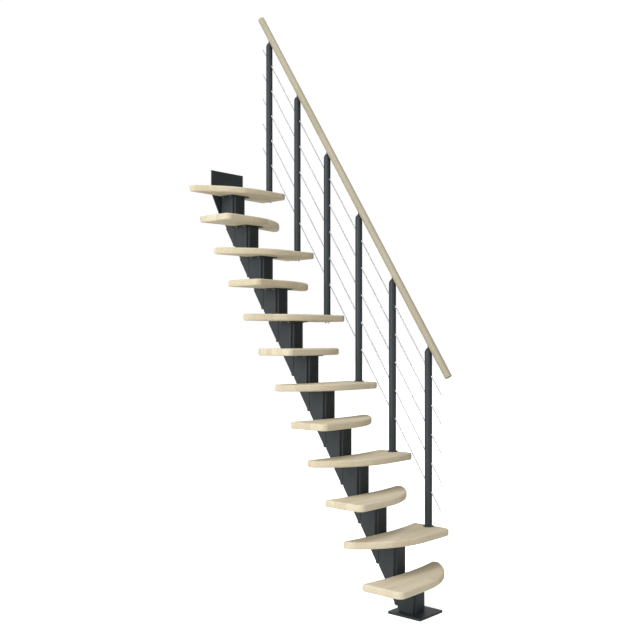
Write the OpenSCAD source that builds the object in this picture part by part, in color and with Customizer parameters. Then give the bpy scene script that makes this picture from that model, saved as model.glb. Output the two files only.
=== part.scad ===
// Central stringer staircase: twelve alternating half-width treads carried on a
// single spine of stacked steel modules, with a steel and wood balustrade on the
// right-hand side. +X is to the right going up, +Y is the way the flight climbs,
// +Z is up. The origin is the centre of the foot plate's underside.

/* [Flight] */
// Height from one tread top to the next
rise = 200; // [190:1:210]
// Horizontal step from one tread to the next
going = 126; // [122:1:132]
// Number of treads; the upper floor is one more rise above the last
tread_count = 12; // [12:1:12]

/* [Treads] */
// Width of a tread across the stair
tread_w = 640; // [620:1:660]
// Thickness of a tread
tread_t = 39; // [36:1:42]
// Front edge of the broad end, measured forward from the step line
tread_front = 269; // [260:1:280]
// Radius of the long sweep that narrows a tread to its slim end
sweep_r = 513; // [500:1:540]
// Sideways distance from the spine to where the sweep begins
sweep_x = 92; // [80:1:100]
// Radius of the broad end's front corner
corner_r = 37; // [30:1:50]
// Distance from the step line to the back edge at the ends
back_gap = 18; // [10:1:22]
// Depth of the shallow hollow in the back edge
back_hollow = 30; // [20:1:35]

/* [Spine] */
// Width of a spine column across the stair
col_w = 112; // [104:1:120]
// Depth of a spine column
col_d = 103; // [96:1:106]
// Front face of a column, measured forward from the step line
col_front = 150; // [146:1:154]
// Radius of a column's upright corners
col_r = 7; // [7:1:12]
// Width of the narrower tube that stands proud of a column's front
front_w = 76; // [70:1:84]
// How far that tube stands proud of the column
front_out = 8; // [5:1:10]
// Radius of the tube's upright corners
front_r = 9; // [7:1:12]
// Wall thickness of the welded steel boxes
wall_t = 4; // [3:0.5:6]
// Width of the wing that carries the next column
wing_w = 110; // [100:1:111]
// Length of the wing behind the column
wing_l = 83; // [78:1:86]
// Drop from the seat to the lowest point of the wing
wing_drop = 119; // [114:1:124]
// Radius of the rounded heel at the wing's lowest point
heel_r = 11; // [6:1:14]
// Distance from the column to the middle of the heel
heel_out = 7; // [5:1:10]
// Thickness of the carrier plate under a tread
carrier_t = 6; // [5:1:8]
// Width of the carrier plate
carrier_w = 150; // [130:1:170]
// Depth of the carrier plate
carrier_d = 122; // [110:1:124]
// Corner radius of the carrier plate
carrier_r = 8; // [4:1:12]
// How far the carrier plate reaches in front of its column
carrier_lip = 22; // [20:1:30]

/* [Plates] */
// Side of the square foot plate
foot_w = 208; // [200:1:220]
// Thickness of the foot plate
foot_t = 12; // [8:1:15]
// Corner radius of the foot plate
foot_r = 3; // [1:1:6]
// Spacing of the anchor holes in the foot plate
foot_pitch = 164; // [158:1:172]
// Width of the wall plate
plate_w = 268; // [260:1:280]
// Thickness of the wall plate
plate_t = 8; // [6:1:10]
// Top of the wall plate above the last tread
plate_up = 119; // [100:1:130]
// Lowest edge of the wall plate below the last tread
plate_down = 172; // [166:1:180]
// Where the wall plate's taper starts below the last tread
plate_shoulder = 22; // [10:1:40]
// Radius of the anchor holes in the foot plate
anchor_r = 6; // [5:0.5:7]

/* [Balustrade] */
// Distance from the spine to the line of posts
post_x = 284; // [270:1:288]
// Posts stand this far forward of the step line
post_gap = 141; // [136:1:150]
// Outer diameter of a post
post_d = 42; // [40:1:44]
// Wall thickness of a post
post_wall = 2.5; // [2:0.5:4]
// Height of a post's tip above its tread
post_h = 1007; // [990:1:1012]
// Height of the pointed cap on a post
cap_h = 30; // [24:1:34]
// Diameter of the flange at a post's foot
flange_d = 60; // [56:1:64]
// Thickness of the flange
flange_t = 8; // [6:1:10]
// Diameter of the handrail
rail_d = 42; // [40:1:44]
// Height of the handrail's centre line above the treads, at the posts
rail_h = 1055; // [1052:1:1064]
// Diameter of the pin between a post's tip and the handrail
pin_d = 10; // [8:1:12]
// Number of infill rods
rod_count = 5; // [5:1:5]
// Diameter of an infill rod
rod_d = 6; // [5:0.5:8]
// Height of the top rod above the treads, at the posts
rod_top = 878; // [860:1:890]
// Upright spacing of the rods
rod_pitch = 163; // [155:1:168]

/* [Hidden] */
$fn = 64;
steel = "#3f4547";
wood = "#cbbda1";
stainless = "#b9bcbd";
pitch = atan2(rise, going);
eps = 0.01;
// How far a cutting shape reaches past what it cuts
over = 20;
// Solid steel left between a post's bore and its cap
cap_floor = 4;
// How deep a pin is set into the post's tip
pin_sink = 2;
half_w = tread_w / 2;
post_count = tread_count / 2;
col_back = col_d - col_front;
seat_z = -tread_t - carrier_t;
wing_back = col_back + wing_l;
wall_y = tread_count * going + col_back;
back_r = (half_w * half_w + back_hollow * back_hollow) / (2 * back_hollow);
post_base_y = -post_gap;
rail_y0 = -23;
rail_y1 = 1447;
rod_y0 = 24;
rod_y1 = 1430;

function pad(k) = k < 10 ? str("0", k) : str(k);
function at_post(y) = (y - post_base_y) * rise / going;

// Moves a piece from the step line of tread k to its place in the flight
module at_step(k) {
    translate([0, k * going, k * rise]) children();
}

// Rectangle with true round corners, from (x0, y0) to (x1, y1)
module round_rect(x0, y0, x1, y1, r) {
    translate([x0 + r, y0]) square([x1 - x0 - 2 * r, y1 - y0]);
    translate([x0, y0 + r]) square([x1 - x0, y1 - y0 - 2 * r]);
    for (x = [x0 + r, x1 - r], y = [y0 + r, y1 - r])
        translate([x, y]) circle(r = r);
}

// A side profile drawn in Y and Z, given width w across the stair
module across(w) {
    translate([-w / 2, 0, 0]) rotate([90, 0, 90]) linear_extrude(w) children();
}

// Square steel plate on the floor with four anchor holes
module foot_plate() {
    color(steel) linear_extrude(foot_t) difference() {
        round_rect(-foot_w / 2, -foot_w / 2, foot_w / 2, foot_w / 2, foot_r);
        for (x = [-1, 1], y = [-1, 1])
            translate([x, y] * foot_pitch / 2) circle(r = anchor_r);
    }
}

// Upright plate against the upper floor's edge, tapered below the last tread
module wall_plate() {
    color(steel)
    translate([0, wall_y + plate_t, tread_count * rise])
    rotate([90, 0, 0]) linear_extrude(plate_t) polygon([
        [-plate_w / 2, plate_up], [-plate_w / 2, -plate_shoulder],
        [-col_w / 2, -plate_down], [col_w / 2, -plate_down],
        [plate_w / 2, -plate_shoulder], [plate_w / 2, plate_up]
    ]);
}

// Column outline in plan, a box with a narrower tube proud of its front, shrunk by inset
module column_plan(inset) {
    round_rect(
        inset - col_w / 2, inset - col_front,
        col_w / 2 - inset, col_back - inset, col_r - inset
    );
    round_rect(
        inset - front_w / 2, inset - col_front - front_out,
        front_w / 2 - inset, col_back - inset, front_r - inset
    );
}

// What the slope takes off a column's lower back corner, moved forward by shift
module slope_cut(foot_z, shift) {
    heel_z = seat_z - wing_drop;
    across(col_w + over) polygon([
        [col_back - shift + over * going / rise, heel_z + over],
        [col_back - shift + (foot_z - over - heel_z) * going / rise, foot_z - over],
        [col_back + over, foot_z - over],
        [col_back + over, heel_z + over]
    ]);
}

// Upright column, from foot_z up to the carrier plate, as a solid shrunk by inset
module column(foot_z, inset) {
    difference() {
        translate([0, 0, foot_z - inset])
            linear_extrude(seat_z - foot_z) column_plan(inset);
        slope_cut(foot_z, inset / sin(pitch));
    }
}

// Wing behind the column, with a sloping underside that ends in a rounded heel
module wing(inset) {
    heel_z = seat_z - wing_drop + heel_r;
    heel_y = col_back + heel_out;
    tip_y = heel_y + heel_r;
    top_z = seat_z - inset;
    back_y = wing_back - inset / sin(pitch) - inset * going / rise;
    start_y = col_back - (inset > 0 ? 2 * wall_t : eps);
    across(wing_w - 2 * inset) {
        polygon([
            [start_y, top_z], [back_y, top_z],
            [tip_y - inset, top_z - (back_y - tip_y + inset) * rise / going],
            [tip_y - inset, heel_z], [heel_y, heel_z - heel_r + inset],
            [start_y, heel_z - heel_r + inset]
        ]);
        translate([heel_y, heel_z]) circle(r = heel_r - inset);
    }
}

// One welded module of the spine: column, wing and tread carrier
module spine_module(k) {
    foot_z = k == 1 ? foot_t - rise : seat_z - rise;
    color(steel) at_step(k) {
        difference() {
            union() {
                column(foot_z, 0);
                if (k < tread_count) wing(0);
            }
            column(foot_z, wall_t);
            if (k < tread_count) wing(wall_t);
        }
        translate([0, 0, seat_z]) linear_extrude(carrier_t)
            round_rect(
                -carrier_w / 2, -col_front - carrier_lip,
                carrier_w / 2, -col_front - carrier_lip + carrier_d, carrier_r
            );
    }
}

// Tread outline with its broad end on the +X side
module tread_plan() {
    difference() {
        union() {
            intersection() {
                translate([sweep_x, sweep_r - tread_front]) circle(r = sweep_r, $fn = 256);
                translate([-half_w, -tread_front]) square([half_w + sweep_x, tread_front]);
            }
            intersection() {
                round_rect(0, -tread_front, half_w, corner_r, corner_r);
                translate([sweep_x, -tread_front]) square([half_w, tread_front]);
            }
        }
        translate([0, back_r - back_gap - back_hollow]) circle(r = back_r, $fn = 256);
    }
}

// One wooden tread; odd treads are broad on the left, even ones on the right
module tread(k) {
    color(wood) at_step(k) translate([0, 0, -tread_t]) difference() {
        linear_extrude(tread_t) mirror([k % 2, 0]) tread_plan();
        if (k == tread_count)
            translate([-half_w, col_back, -over]) cube([tread_w, tread_front, tread_t + 2 * over]);
    }
}

// A straight bar of diameter d up the slope, from y0 to y1, h above the step line
module sloping_bar(d, h, y0, y1) {
    translate([post_x, y0, h + at_post(y0)])
        rotate([pitch - 90, 0, 0])
            cylinder(d = d, h = (y1 - y0) / cos(pitch));
}

// Steel tube post with a flange at its foot, a pointed cap and holes for the rods
module post(p) {
    body_h = post_h - cap_h;
    cap_r = (cap_h * cap_h + post_d * post_d / 4) / post_d;
    k = 2 * p;
    color(steel) difference() {
        translate([post_x, k * going + post_base_y, k * rise]) {
            difference() {
                cylinder(d = post_d, h = body_h);
                translate([0, 0, -over])
                    cylinder(d = post_d - 2 * post_wall, h = body_h - cap_floor + over);
            }
            cylinder(d = flange_d, h = flange_t / 2);
            translate([0, 0, flange_t / 2])
                cylinder(d1 = flange_d, d2 = post_d, h = flange_t / 2);
            translate([0, 0, body_h]) rotate_extrude() intersection() {
                translate([post_d / 2 - cap_r, 0]) circle(r = cap_r, $fn = 128);
                square([post_d / 2, cap_h]);
            }
        }
        for (r = [1:rod_count]) infill(r);
    }
}

// Round wooden handrail along the slope above the posts
module handrail() {
    color(wood) sloping_bar(rail_d, rail_h, rail_y0, rail_y1);
}

// Short pin from each post's tip into the underside of the handrail
module rail_brackets() {
    color(steel) difference() {
        for (p = [1:post_count])
            translate([post_x, 2 * p * going + post_base_y, 2 * p * rise + post_h - pin_sink])
                cylinder(d = pin_d, h = rail_h - post_h);
        handrail();
        for (p = [1:post_count]) post(p);
    }
}

// The path of rod r, counted from the top
module infill(r) {
    sloping_bar(rod_d, rod_top - (r - 1) * rod_pitch, rod_y0, rod_y1);
}

// Straight stainless rod through all the posts
module rod(r) {
    color(stainless) infill(r);
}

foot_plate();
wall_plate();
for (k = [1:tread_count]) {
    spine_module(k);
    tread(k);
}
for (p = [1:post_count])
    post(p);
handrail();
rail_brackets();
for (r = [1:rod_count])
    rod(r);
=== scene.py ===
import math

import bmesh
import bpy
from mathutils import Matrix, Vector


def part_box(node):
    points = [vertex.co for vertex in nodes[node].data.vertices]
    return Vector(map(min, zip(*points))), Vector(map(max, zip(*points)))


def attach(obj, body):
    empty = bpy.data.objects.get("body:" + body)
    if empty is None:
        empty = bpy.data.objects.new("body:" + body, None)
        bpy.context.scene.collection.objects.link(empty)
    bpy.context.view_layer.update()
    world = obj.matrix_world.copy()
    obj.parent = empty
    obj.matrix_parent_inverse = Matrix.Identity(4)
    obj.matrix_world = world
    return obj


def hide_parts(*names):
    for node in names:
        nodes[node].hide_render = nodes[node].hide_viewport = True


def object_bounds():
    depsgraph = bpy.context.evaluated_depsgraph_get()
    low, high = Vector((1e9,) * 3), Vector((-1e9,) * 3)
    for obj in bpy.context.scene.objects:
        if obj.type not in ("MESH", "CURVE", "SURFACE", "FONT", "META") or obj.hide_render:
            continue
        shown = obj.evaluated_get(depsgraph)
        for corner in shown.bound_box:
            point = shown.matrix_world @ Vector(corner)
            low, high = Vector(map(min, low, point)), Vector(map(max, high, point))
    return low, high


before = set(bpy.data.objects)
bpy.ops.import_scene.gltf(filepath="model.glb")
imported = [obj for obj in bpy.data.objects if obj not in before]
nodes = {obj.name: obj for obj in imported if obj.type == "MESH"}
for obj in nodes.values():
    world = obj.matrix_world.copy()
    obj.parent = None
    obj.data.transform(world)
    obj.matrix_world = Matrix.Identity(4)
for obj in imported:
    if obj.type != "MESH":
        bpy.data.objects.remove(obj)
cad_low, cad_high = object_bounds()

# ---------------------------------------------------------------------------------------------
# Foot plate, spine and wall plate: welded steel boxes stacked up the flight between a plate on
# the floor and one against the upper floor. All are powder coated in satin anthracite.
# ---------------------------------------------------------------------------------------------
TREADS = 12
PEEL_MM = 2.5       # ripple of the cured powder, as orange peel
CLOUD_MM = 90.0     # slow drift in tone over a sprayed panel
PEEL_DEPTH = 0.0002
SATIN_SHINIEST, SATIN_DULLEST = 0.42, 0.54
COAT_DARK = "#252a2d"
COAT_LIGHT = "#2f3538"


def linear(code):
    """Turns an sRGB hex colour into linear red, green, blue and alpha."""
    shares = [int(code[i:i + 2], 16) / 255 for i in (1, 3, 5)]
    return [s / 12.92 if s <= 0.04045 else ((s + 0.055) / 1.055) ** 2.4 for s in shares] + [1.0]


def add(tree, kind, settings=None, links=None):
    """Adds a node. Settings are its properties or input values, links its inputs' sources."""
    made = tree.nodes.new(kind)
    for name, value in (settings or {}).items():
        if isinstance(name, str) and hasattr(made, name):
            setattr(made, name, value)
        else:
            made.inputs[name].default_value = value
    for name, source in (links or {}).items():
        tree.links.new(source, made.inputs[name])
    return made


def new_material(name):
    """An empty node material and its tree."""
    material = bpy.data.materials.new(name)
    material.use_nodes = True
    material.node_tree.nodes.clear()
    return material, material.node_tree


# Polyester powder coat, sprayed and baked: satin, faintly rippled, nearly even in tone
powder_coat, tree = new_material("anthracite_powder_coat")
place = add(tree, "ShaderNodeTexCoord").outputs["Object"]
cloud = add(tree, "ShaderNodeTexNoise", {"Scale": 1000 / CLOUD_MM, "Detail": 3.0}, {"Vector": place})
peel = add(tree, "ShaderNodeTexNoise", {"Scale": 1000 / PEEL_MM, "Detail": 1.0}, {"Vector": place})
tone = add(tree, "ShaderNodeMix",
           {"data_type": "RGBA", 6: linear(COAT_DARK), 7: linear(COAT_LIGHT)},
           {0: cloud.outputs["Fac"]})
ripple = add(tree, "ShaderNodeBump", {"Strength": 0.25, "Distance": PEEL_DEPTH},
             {"Height": peel.outputs["Fac"]})
gloss = add(tree, "ShaderNodeMapRange", {"To Min": SATIN_SHINIEST, "To Max": SATIN_DULLEST},
            {"Value": cloud.outputs["Fac"]})
coat = add(tree, "ShaderNodeBsdfPrincipled", {"IOR": 1.5, "Specular IOR Level": 0.3},
           {"Base Color": tone.outputs[2], "Roughness": gloss.outputs[0], "Normal": ripple.outputs[0]})
add(tree, "ShaderNodeOutputMaterial", None, {"Surface": coat.outputs[0]})


def finish_node(name, material):
    """Gives a CAD node its finish."""
    for held in nodes[name].material_slots:
        held.material = material


finish_node("foot_plate", powder_coat)
finish_node("wall_plate", powder_coat)
for k in range(1, TREADS + 1):
    finish_node(f"spine_module_{k:02d}", powder_coat)

# ---------------------------------------------------------------------------------------------
# Treads: solid boards glued from staves of pale hardwood, edges rounded over, white-oiled. The
# grain runs along the length of each tread.
# ---------------------------------------------------------------------------------------------
EDGE_ROUND = 0.010      # radius of the rounded-over edges
ROUND_STEPS = 5         # flats that make up a rounded edge
SHARP = math.radians(60)        # edges sharper than this are rounded
SMOOTH = math.radians(40)       # faces that meet flatter than this are shaded as one
SAME_PLACE = 1e-5       # corners closer than this are merged
SAME_PLANE = math.radians(1)    # faces that meet flatter than this are joined
STAVE_WIDTH_MM = 42.0
STAVE_LENGTH_MM = 380.0
STAVE_SHARE = 0.35      # how much of the tone is the stave's own, and not its grain
GRAIN_ALONG = 0.06      # the grain is drawn out along the board by the inverse of this
GRAIN_MM = 7.0          # growth rings cut lengthwise, drawn a little coarse so that they show
PORE_MM = 2.5           # real pores are finer; this is as coarse as it takes to show
PORE_DEPTH = 0.0002
MATT_SHINIEST, MATT_DULLEST = 0.66, 0.8
WOOD_PALE = "#cec4ac"
WOOD_WARM = "#b9ac91"


def white_oiled_wood(name, turn, pale, warm):
    """Glued staves from pale to warm, the grain along X once turned by the angles given."""
    material, tree = new_material(name)
    place = add(tree, "ShaderNodeTexCoord").outputs["Object"]
    turned = add(tree, "ShaderNodeMapping", {"Rotation": turn}, {"Vector": place}).outputs[0]
    axes = add(tree, "ShaderNodeSeparateXYZ", None, {"Vector": turned})
    row = add(tree, "ShaderNodeMath", {"operation": "MULTIPLY", 1: 1000 / STAVE_WIDTH_MM},
              {0: axes.outputs["Y"]})
    row = add(tree, "ShaderNodeMath", {"operation": "FLOOR"}, {0: row.outputs[0]})
    stagger = add(tree, "ShaderNodeTexWhiteNoise", {"noise_dimensions": "1D"}, {"W": row.outputs[0]})
    column = add(tree, "ShaderNodeMath", {"operation": "MULTIPLY_ADD", 1: 1000 / STAVE_LENGTH_MM},
                 {0: axes.outputs["X"], 2: stagger.outputs["Value"]})
    column = add(tree, "ShaderNodeMath", {"operation": "FLOOR"}, {0: column.outputs[0]})
    stave = add(tree, "ShaderNodeCombineXYZ", None, {"X": row.outputs[0], "Y": column.outputs[0]})
    shade = add(tree, "ShaderNodeTexWhiteNoise", {"noise_dimensions": "3D"},
                {"Vector": stave.outputs[0]})
    shifted = add(tree, "ShaderNodeVectorMath", {"operation": "ADD"},
                  {0: turned, 1: shade.outputs["Color"]})
    long_way = add(tree, "ShaderNodeMapping", {"Scale": (GRAIN_ALONG, 1.0, 1.0)},
                   {"Vector": shifted.outputs[0]})
    rings = add(tree, "ShaderNodeTexNoise",
                {"Scale": 1000 / GRAIN_MM, "Detail": 3.0, "Distortion": 0.6},
                {"Vector": long_way.outputs[0]})
    pores = add(tree, "ShaderNodeTexNoise", {"Scale": 1000 / PORE_MM, "Detail": 2.0},
                {"Vector": long_way.outputs[0]})
    mixed = add(tree, "ShaderNodeMix", {"data_type": "FLOAT", 0: STAVE_SHARE},
                {2: rings.outputs["Fac"], 3: shade.outputs["Value"]})
    figure = add(tree, "ShaderNodeMapRange", {"From Min": 0.25, "From Max": 0.75},
                 {"Value": mixed.outputs[0]})
    tone = add(tree, "ShaderNodeMix",
               {"data_type": "RGBA", 6: linear(pale), 7: linear(warm)},
               {0: figure.outputs[0]})
    relief = add(tree, "ShaderNodeBump", {"Strength": 0.12, "Distance": PORE_DEPTH},
                 {"Height": pores.outputs["Fac"]})
    sheen = add(tree, "ShaderNodeMapRange", {"To Min": MATT_SHINIEST, "To Max": MATT_DULLEST},
                {"Value": pores.outputs["Fac"]})
    body = add(tree, "ShaderNodeBsdfPrincipled", {"IOR": 1.47, "Specular IOR Level": 0.25},
               {"Base Color": tone.outputs[2], "Roughness": sheen.outputs[0],
                "Normal": relief.outputs[0]})
    add(tree, "ShaderNodeOutputMaterial", None, {"Surface": body.outputs[0]})
    return material


def softened(name, radius):
    """A copy of a CAD node's shape, with its sharp edges rounded over."""
    shape = bmesh.new()
    shape.from_mesh(nodes[name].data)
    bmesh.ops.remove_doubles(shape, verts=shape.verts, dist=SAME_PLACE)
    bmesh.ops.dissolve_limit(shape, angle_limit=SAME_PLANE, verts=shape.verts,
                             edges=shape.edges)
    rims = [e for e in shape.edges if e.is_manifold and e.calc_face_angle(0) > SHARP]
    bmesh.ops.bevel(shape, geom=rims, offset=radius, offset_type="OFFSET", segments=ROUND_STEPS,
                    profile=0.5, affect="EDGES", material=-1, clamp_overlap=True)
    return shape


def piece(shape, name, material):
    """Makes a shape into a finished piece of the stair."""
    mesh = bpy.data.meshes.new(name)
    shape.to_mesh(mesh)
    shape.free()
    mesh.materials.append(material)
    mesh.shade_smooth()
    mesh.set_sharp_from_angle(angle=SMOOTH)
    made = bpy.data.objects.new(name, mesh)
    bpy.context.scene.collection.objects.link(made)
    made.modifiers.new("even_shading", "WEIGHTED_NORMAL").keep_sharp = True
    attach(made, "root")
    return made


tread_wood = white_oiled_wood("white_oiled_tread_wood", (0.0, 0.0, 0.0), WOOD_PALE, WOOD_WARM)
for k in range(1, TREADS + 1):
    tread = f"tread_{k:02d}"
    board = piece(softened(tread, EDGE_ROUND), f"{tread}_board", tread_wood)
    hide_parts(tread)

# ---------------------------------------------------------------------------------------------
# Carrier screws: pan-head wood screws that come up through each carrier plate into its tread.
# They are zinc plated and sit in the strips of plate that show beside the column.
# ---------------------------------------------------------------------------------------------
SCREW_HEAD_R = 0.0045
SCREW_FACE_R = SCREW_HEAD_R * 0.6
SCREW_SIDES = 20
SCREW_HEAD_H = 0.003
SCREW_INSET = 0.009     # from the plate's side edge to a screw
SCREW_ROWS = (0.03, 0.095)      # from the plate's front edge
CARRIER_T = 0.006       # thickness of the carrier plate
BLOOM_MM = 4.0          # patches of duller plating
ZINC_SHINIEST, ZINC_DULLEST = 0.28, 0.42
ZINC = "#b3b6b8"

# Bright zinc plating: a pale, slightly uneven metal
zinc, tree = new_material("bright_zinc_plating")
place = add(tree, "ShaderNodeTexCoord").outputs["Object"]
bloom = add(tree, "ShaderNodeTexNoise", {"Scale": 1000 / BLOOM_MM, "Detail": 2.0}, {"Vector": place})
dull = add(tree, "ShaderNodeMapRange", {"To Min": ZINC_SHINIEST, "To Max": ZINC_DULLEST},
           {"Value": bloom.outputs["Fac"]})
plating = add(tree, "ShaderNodeBsdfPrincipled", {"Base Color": linear(ZINC), "Metallic": 1.0},
              {"Roughness": dull.outputs[0]})
add(tree, "ShaderNodeOutputMaterial", None, {"Surface": plating.outputs[0]})


def turned_down(shape, spot, radius, narrow, depth, sides):
    """Adds a cone or prism that hangs below a spot, from radius at the top to narrow."""
    middle = Matrix.Translation(spot - Vector((0.0, 0.0, depth / 2)))
    bmesh.ops.create_cone(shape, cap_ends=True, segments=sides, radius1=narrow, radius2=radius,
                          depth=depth, matrix=middle)


for k in range(1, TREADS + 1):
    low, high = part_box(f"spine_module_{k:02d}")
    shape = bmesh.new()
    for side in (low.x + SCREW_INSET, high.x - SCREW_INSET):
        for back in SCREW_ROWS:
            spot = Vector((side, low.y + back, high.z - CARRIER_T))
            turned_down(shape, spot, SCREW_HEAD_R, SCREW_FACE_R, SCREW_HEAD_H, SCREW_SIDES)
    piece(shape, f"carrier_screws_{k:02d}", zinc)

# ---------------------------------------------------------------------------------------------
# Posts and pins: round steel tubes with a flange at the foot and a pointed cap, in the same
# powder coat. Each is held through its tread by two zinc-plated nuts on washers.
# ---------------------------------------------------------------------------------------------
POSTS = 6
NUT_SPREAD = 0.013      # from the post's axis to each nut
WASHER_R, WASHER_T, WASHER_SIDES = 0.009, 0.0016, 24
NUT_R, NUT_H, NUT_SIDES = 0.0058, 0.005, 6
STUD_R, STUD_H, STUD_SIDES = 0.003, 0.003, 16
STUD_TIP_R = STUD_R * 0.8

finish_node("rail_brackets", powder_coat)
for p in range(1, POSTS + 1):
    finish_node(f"post_{p}", powder_coat)
    low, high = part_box(f"post_{p}")
    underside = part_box(f"tread_{2 * p:02d}")[0].z
    shape = bmesh.new()
    for shift in (-NUT_SPREAD, NUT_SPREAD):
        spot = Vector(((low.x + high.x) / 2 + shift, (low.y + high.y) / 2, underside))
        turned_down(shape, spot, WASHER_R, WASHER_R, WASHER_T, WASHER_SIDES)
        spot.z -= WASHER_T
        turned_down(shape, spot, NUT_R, NUT_R, NUT_H, NUT_SIDES)
        spot.z -= NUT_H
        turned_down(shape, spot, STUD_R, STUD_TIP_R, STUD_H, STUD_SIDES)
    piece(shape, f"post_nuts_{p}", zinc)

# ---------------------------------------------------------------------------------------------
# Handrail: one round bar of the same white-oiled wood, its grain along the slope, with the
# square-cut ends just eased.
# ---------------------------------------------------------------------------------------------
RAIL_EASE = 0.002
RISE, GOING = 0.200, 0.126
PITCH = math.atan2(RISE, GOING)     # slope of the flight
ALONG_SLOPE = (-PITCH, 0.0, -math.pi / 2)
RAIL_PALE_SHADED = "#a49d8a"      # painted shade: the same wood drawn a shade greyer than the treads
RAIL_WARM_SHADED = "#9a937d"

# The rail's wood is a darker copy of the tread wood, with painted shade in its colours
shaded_rail_wood = white_oiled_wood("white_oiled_rail_wood_painted_shade", ALONG_SLOPE, RAIL_PALE_SHADED, RAIL_WARM_SHADED)
rail = piece(softened("handrail", RAIL_EASE), "handrail_bar", shaded_rail_wood)
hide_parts("handrail")

# ---------------------------------------------------------------------------------------------
# Infill rods: thin stainless bar, ground lengthwise, running through all six posts.
# ---------------------------------------------------------------------------------------------
RODS = 5
GRIND_MM = 0.8      # grinding lines, drawn coarse enough to show
GRIND_ALONG = 0.02  # the lines are drawn out along the rod by the inverse of this
ROD_SHINIEST, ROD_DULLEST = 0.22, 0.4
STEEL = "#a3a6a8"

# Ground stainless steel: a plain grey metal, its shine broken up by fine lengthwise lines
stainless, tree = new_material("ground_stainless_steel")
place = add(tree, "ShaderNodeTexCoord").outputs["Object"]
turned = add(tree, "ShaderNodeMapping", {"Rotation": ALONG_SLOPE}, {"Vector": place})
drawn = add(tree, "ShaderNodeMapping", {"Scale": (GRIND_ALONG, 1.0, 1.0)},
            {"Vector": turned.outputs[0]})
lines = add(tree, "ShaderNodeTexNoise", {"Scale": 1000 / GRIND_MM, "Detail": 2.0},
            {"Vector": drawn.outputs[0]})
worn = add(tree, "ShaderNodeMapRange", {"To Min": ROD_SHINIEST, "To Max": ROD_DULLEST},
           {"Value": lines.outputs["Fac"]})
metal = add(tree, "ShaderNodeBsdfPrincipled", {"Base Color": linear(STEEL), "Metallic": 1.0},
            {"Roughness": worn.outputs[0]})
add(tree, "ShaderNodeOutputMaterial", None, {"Surface": metal.outputs[0]})

for r in range(1, RODS + 1):
    finish_node(f"rod_{r}", stainless)

# ---------------------------------------------------------------------------------------------
# Studio: a pale floor, a white surround and soft lamps, with the stair seen from the left.
# ---------------------------------------------------------------------------------------------
FLOOR_HALF = 40.0
FLOOR_GAP = 0.0005      # keeps the floor from lying in the foot plate's underside
FLOOR_GREY = "#f0f0ee"
FLOOR_LIFT = 0.75       # what the camera adds to the floor, so that only the shadow is off white
ROOM_LIGHT = 0.5        # what the white surround gives the object

shape = bmesh.new()
bmesh.ops.create_grid(shape, x_segments=1, y_segments=1, size=FLOOR_HALF,
                      matrix=Matrix.Translation((0.0, 0.0, cad_low.z - FLOOR_GAP)))
mesh = bpy.data.meshes.new("floor")
shape.to_mesh(mesh)
shape.free()
floor = bpy.data.objects.new("floor", mesh)
bpy.context.scene.collection.objects.link(floor)

floor_paint, tree = new_material("pale_matt_floor")
path = add(tree, "ShaderNodeLightPath")
matt = add(tree, "ShaderNodeBsdfDiffuse", {"Color": linear(FLOOR_GREY)})
lift = add(tree, "ShaderNodeMath", {"operation": "MULTIPLY", 1: FLOOR_LIFT},
           {0: path.outputs["Is Camera Ray"]})
glow = add(tree, "ShaderNodeEmission", None, {"Strength": lift.outputs[0]})
both = add(tree, "ShaderNodeAddShader", None, {0: matt.outputs[0], 1: glow.outputs[0]})
add(tree, "ShaderNodeOutputMaterial", None, {"Surface": both.outputs[0]})
mesh.materials.append(floor_paint)

world = bpy.data.worlds.new("white_surround")
world.use_nodes = True
tree = world.node_tree
tree.nodes.clear()
path = add(tree, "ShaderNodeLightPath")
seen = add(tree, "ShaderNodeMath", {"operation": "MAXIMUM"},
           {0: path.outputs["Is Camera Ray"], 1: path.outputs["Is Glossy Ray"]})
seen = add(tree, "ShaderNodeMath", {"operation": "MAXIMUM"},
           {0: seen.outputs[0], 1: path.outputs["Is Transmission Ray"]})
level = add(tree, "ShaderNodeMapRange", {"To Min": ROOM_LIGHT, "To Max": 1.0},
            {"Value": seen.outputs[0]})
sky = add(tree, "ShaderNodeBackground", {"Color": (1.0, 1.0, 1.0, 1.0)},
          {"Strength": level.outputs[0]})
add(tree, "ShaderNodeOutputWorld", None, {"Surface": sky.outputs[0]})
bpy.context.scene.world = world


def lamp(name, spot, aim, size, power):
    """A square soft lamp at a spot, turned to the point it lights."""
    light = bpy.data.lights.new(name, "AREA")
    light.size = size
    light.energy = power
    held = bpy.data.objects.new(name, light)
    held.location = spot
    held.rotation_euler = (Vector(aim) - Vector(spot)).to_track_quat("-Z", "Y").to_euler()
    bpy.context.scene.collection.objects.link(held)


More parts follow.
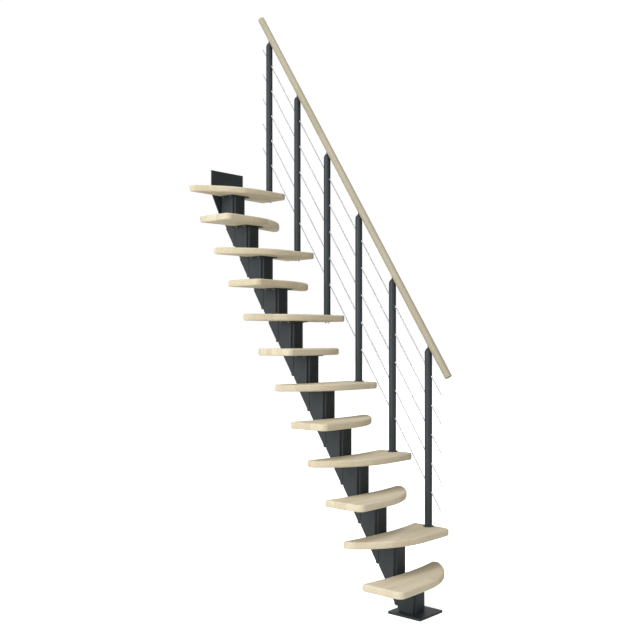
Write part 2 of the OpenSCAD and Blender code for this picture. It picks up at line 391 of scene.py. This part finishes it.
MIDDLE = (cad_low + cad_high) / 2
lamp("key_lamp", (-9.0, 1.5, 3.0), MIDDLE, 5.0, 620.0)
lamp("top_lamp", (-1.0, -1.0, 12.0), MIDDLE, 6.0, 620.0)
lamp("front_lamp", (-2.0, -9.0, 2.2), MIDDLE, 4.0, 150.0)

# A dark cloth to the right keeps stray light off the sides that face away from the lamps
CLOTH_X, CLOTH_Y, CLOTH_HALF = 3.0, -1.8, 2.8
CLOTH_CLEAR = 0.1       # its lower edge hangs this far above the floor
CLOTH_TURN = math.radians(-40.0)
CLOTH_GREY = "#2c2c2c"
shape = bmesh.new()
bmesh.ops.create_grid(shape, x_segments=1, y_segments=1, size=CLOTH_HALF,
                      matrix=Matrix.Translation((CLOTH_X, CLOTH_Y, CLOTH_HALF + CLOTH_CLEAR))
                      @ Matrix.Rotation(CLOTH_TURN, 4, "Z")
                      @ Matrix.Rotation(math.pi / 2, 4, "Y"))
mesh = bpy.data.meshes.new("dark_cloth")
shape.to_mesh(mesh)
shape.free()
cloth = bpy.data.objects.new("dark_cloth", mesh)
cloth.visible_camera = False
bpy.context.scene.collection.objects.link(cloth)

dark_serge, tree = new_material("dark_serge")
serge = add(tree, "ShaderNodeBsdfDiffuse", {"Color": linear(CLOTH_GREY)})
add(tree, "ShaderNodeOutputMaterial", None, {"Surface": serge.outputs[0]})
mesh.materials.append(dark_serge)

CAMERA_SPOT = (-3.840, -2.721, 1.441)
CAMERA_TURN = math.radians(48.512)      # to the right of straight up the flight
CAMERA_LENS = 49.59                     # mm, on a 36 mm sensor
HORIZON_DROP = 0.0334                   # share of the frame, from its middle to the horizon

view = bpy.data.cameras.new("camera")
view.sensor_width = 36.0
view.lens = CAMERA_LENS
view.shift_y = HORIZON_DROP
camera = bpy.data.objects.new("camera", view)
camera.location = CAMERA_SPOT
camera.rotation_euler = (math.pi / 2, 0.0, -CAMERA_TURN)
bpy.context.scene.collection.objects.link(camera)
bpy.context.scene.camera = camera
bpy.context.scene.view_settings.view_transform = "Standard"

bpy.context.view_layer.update()
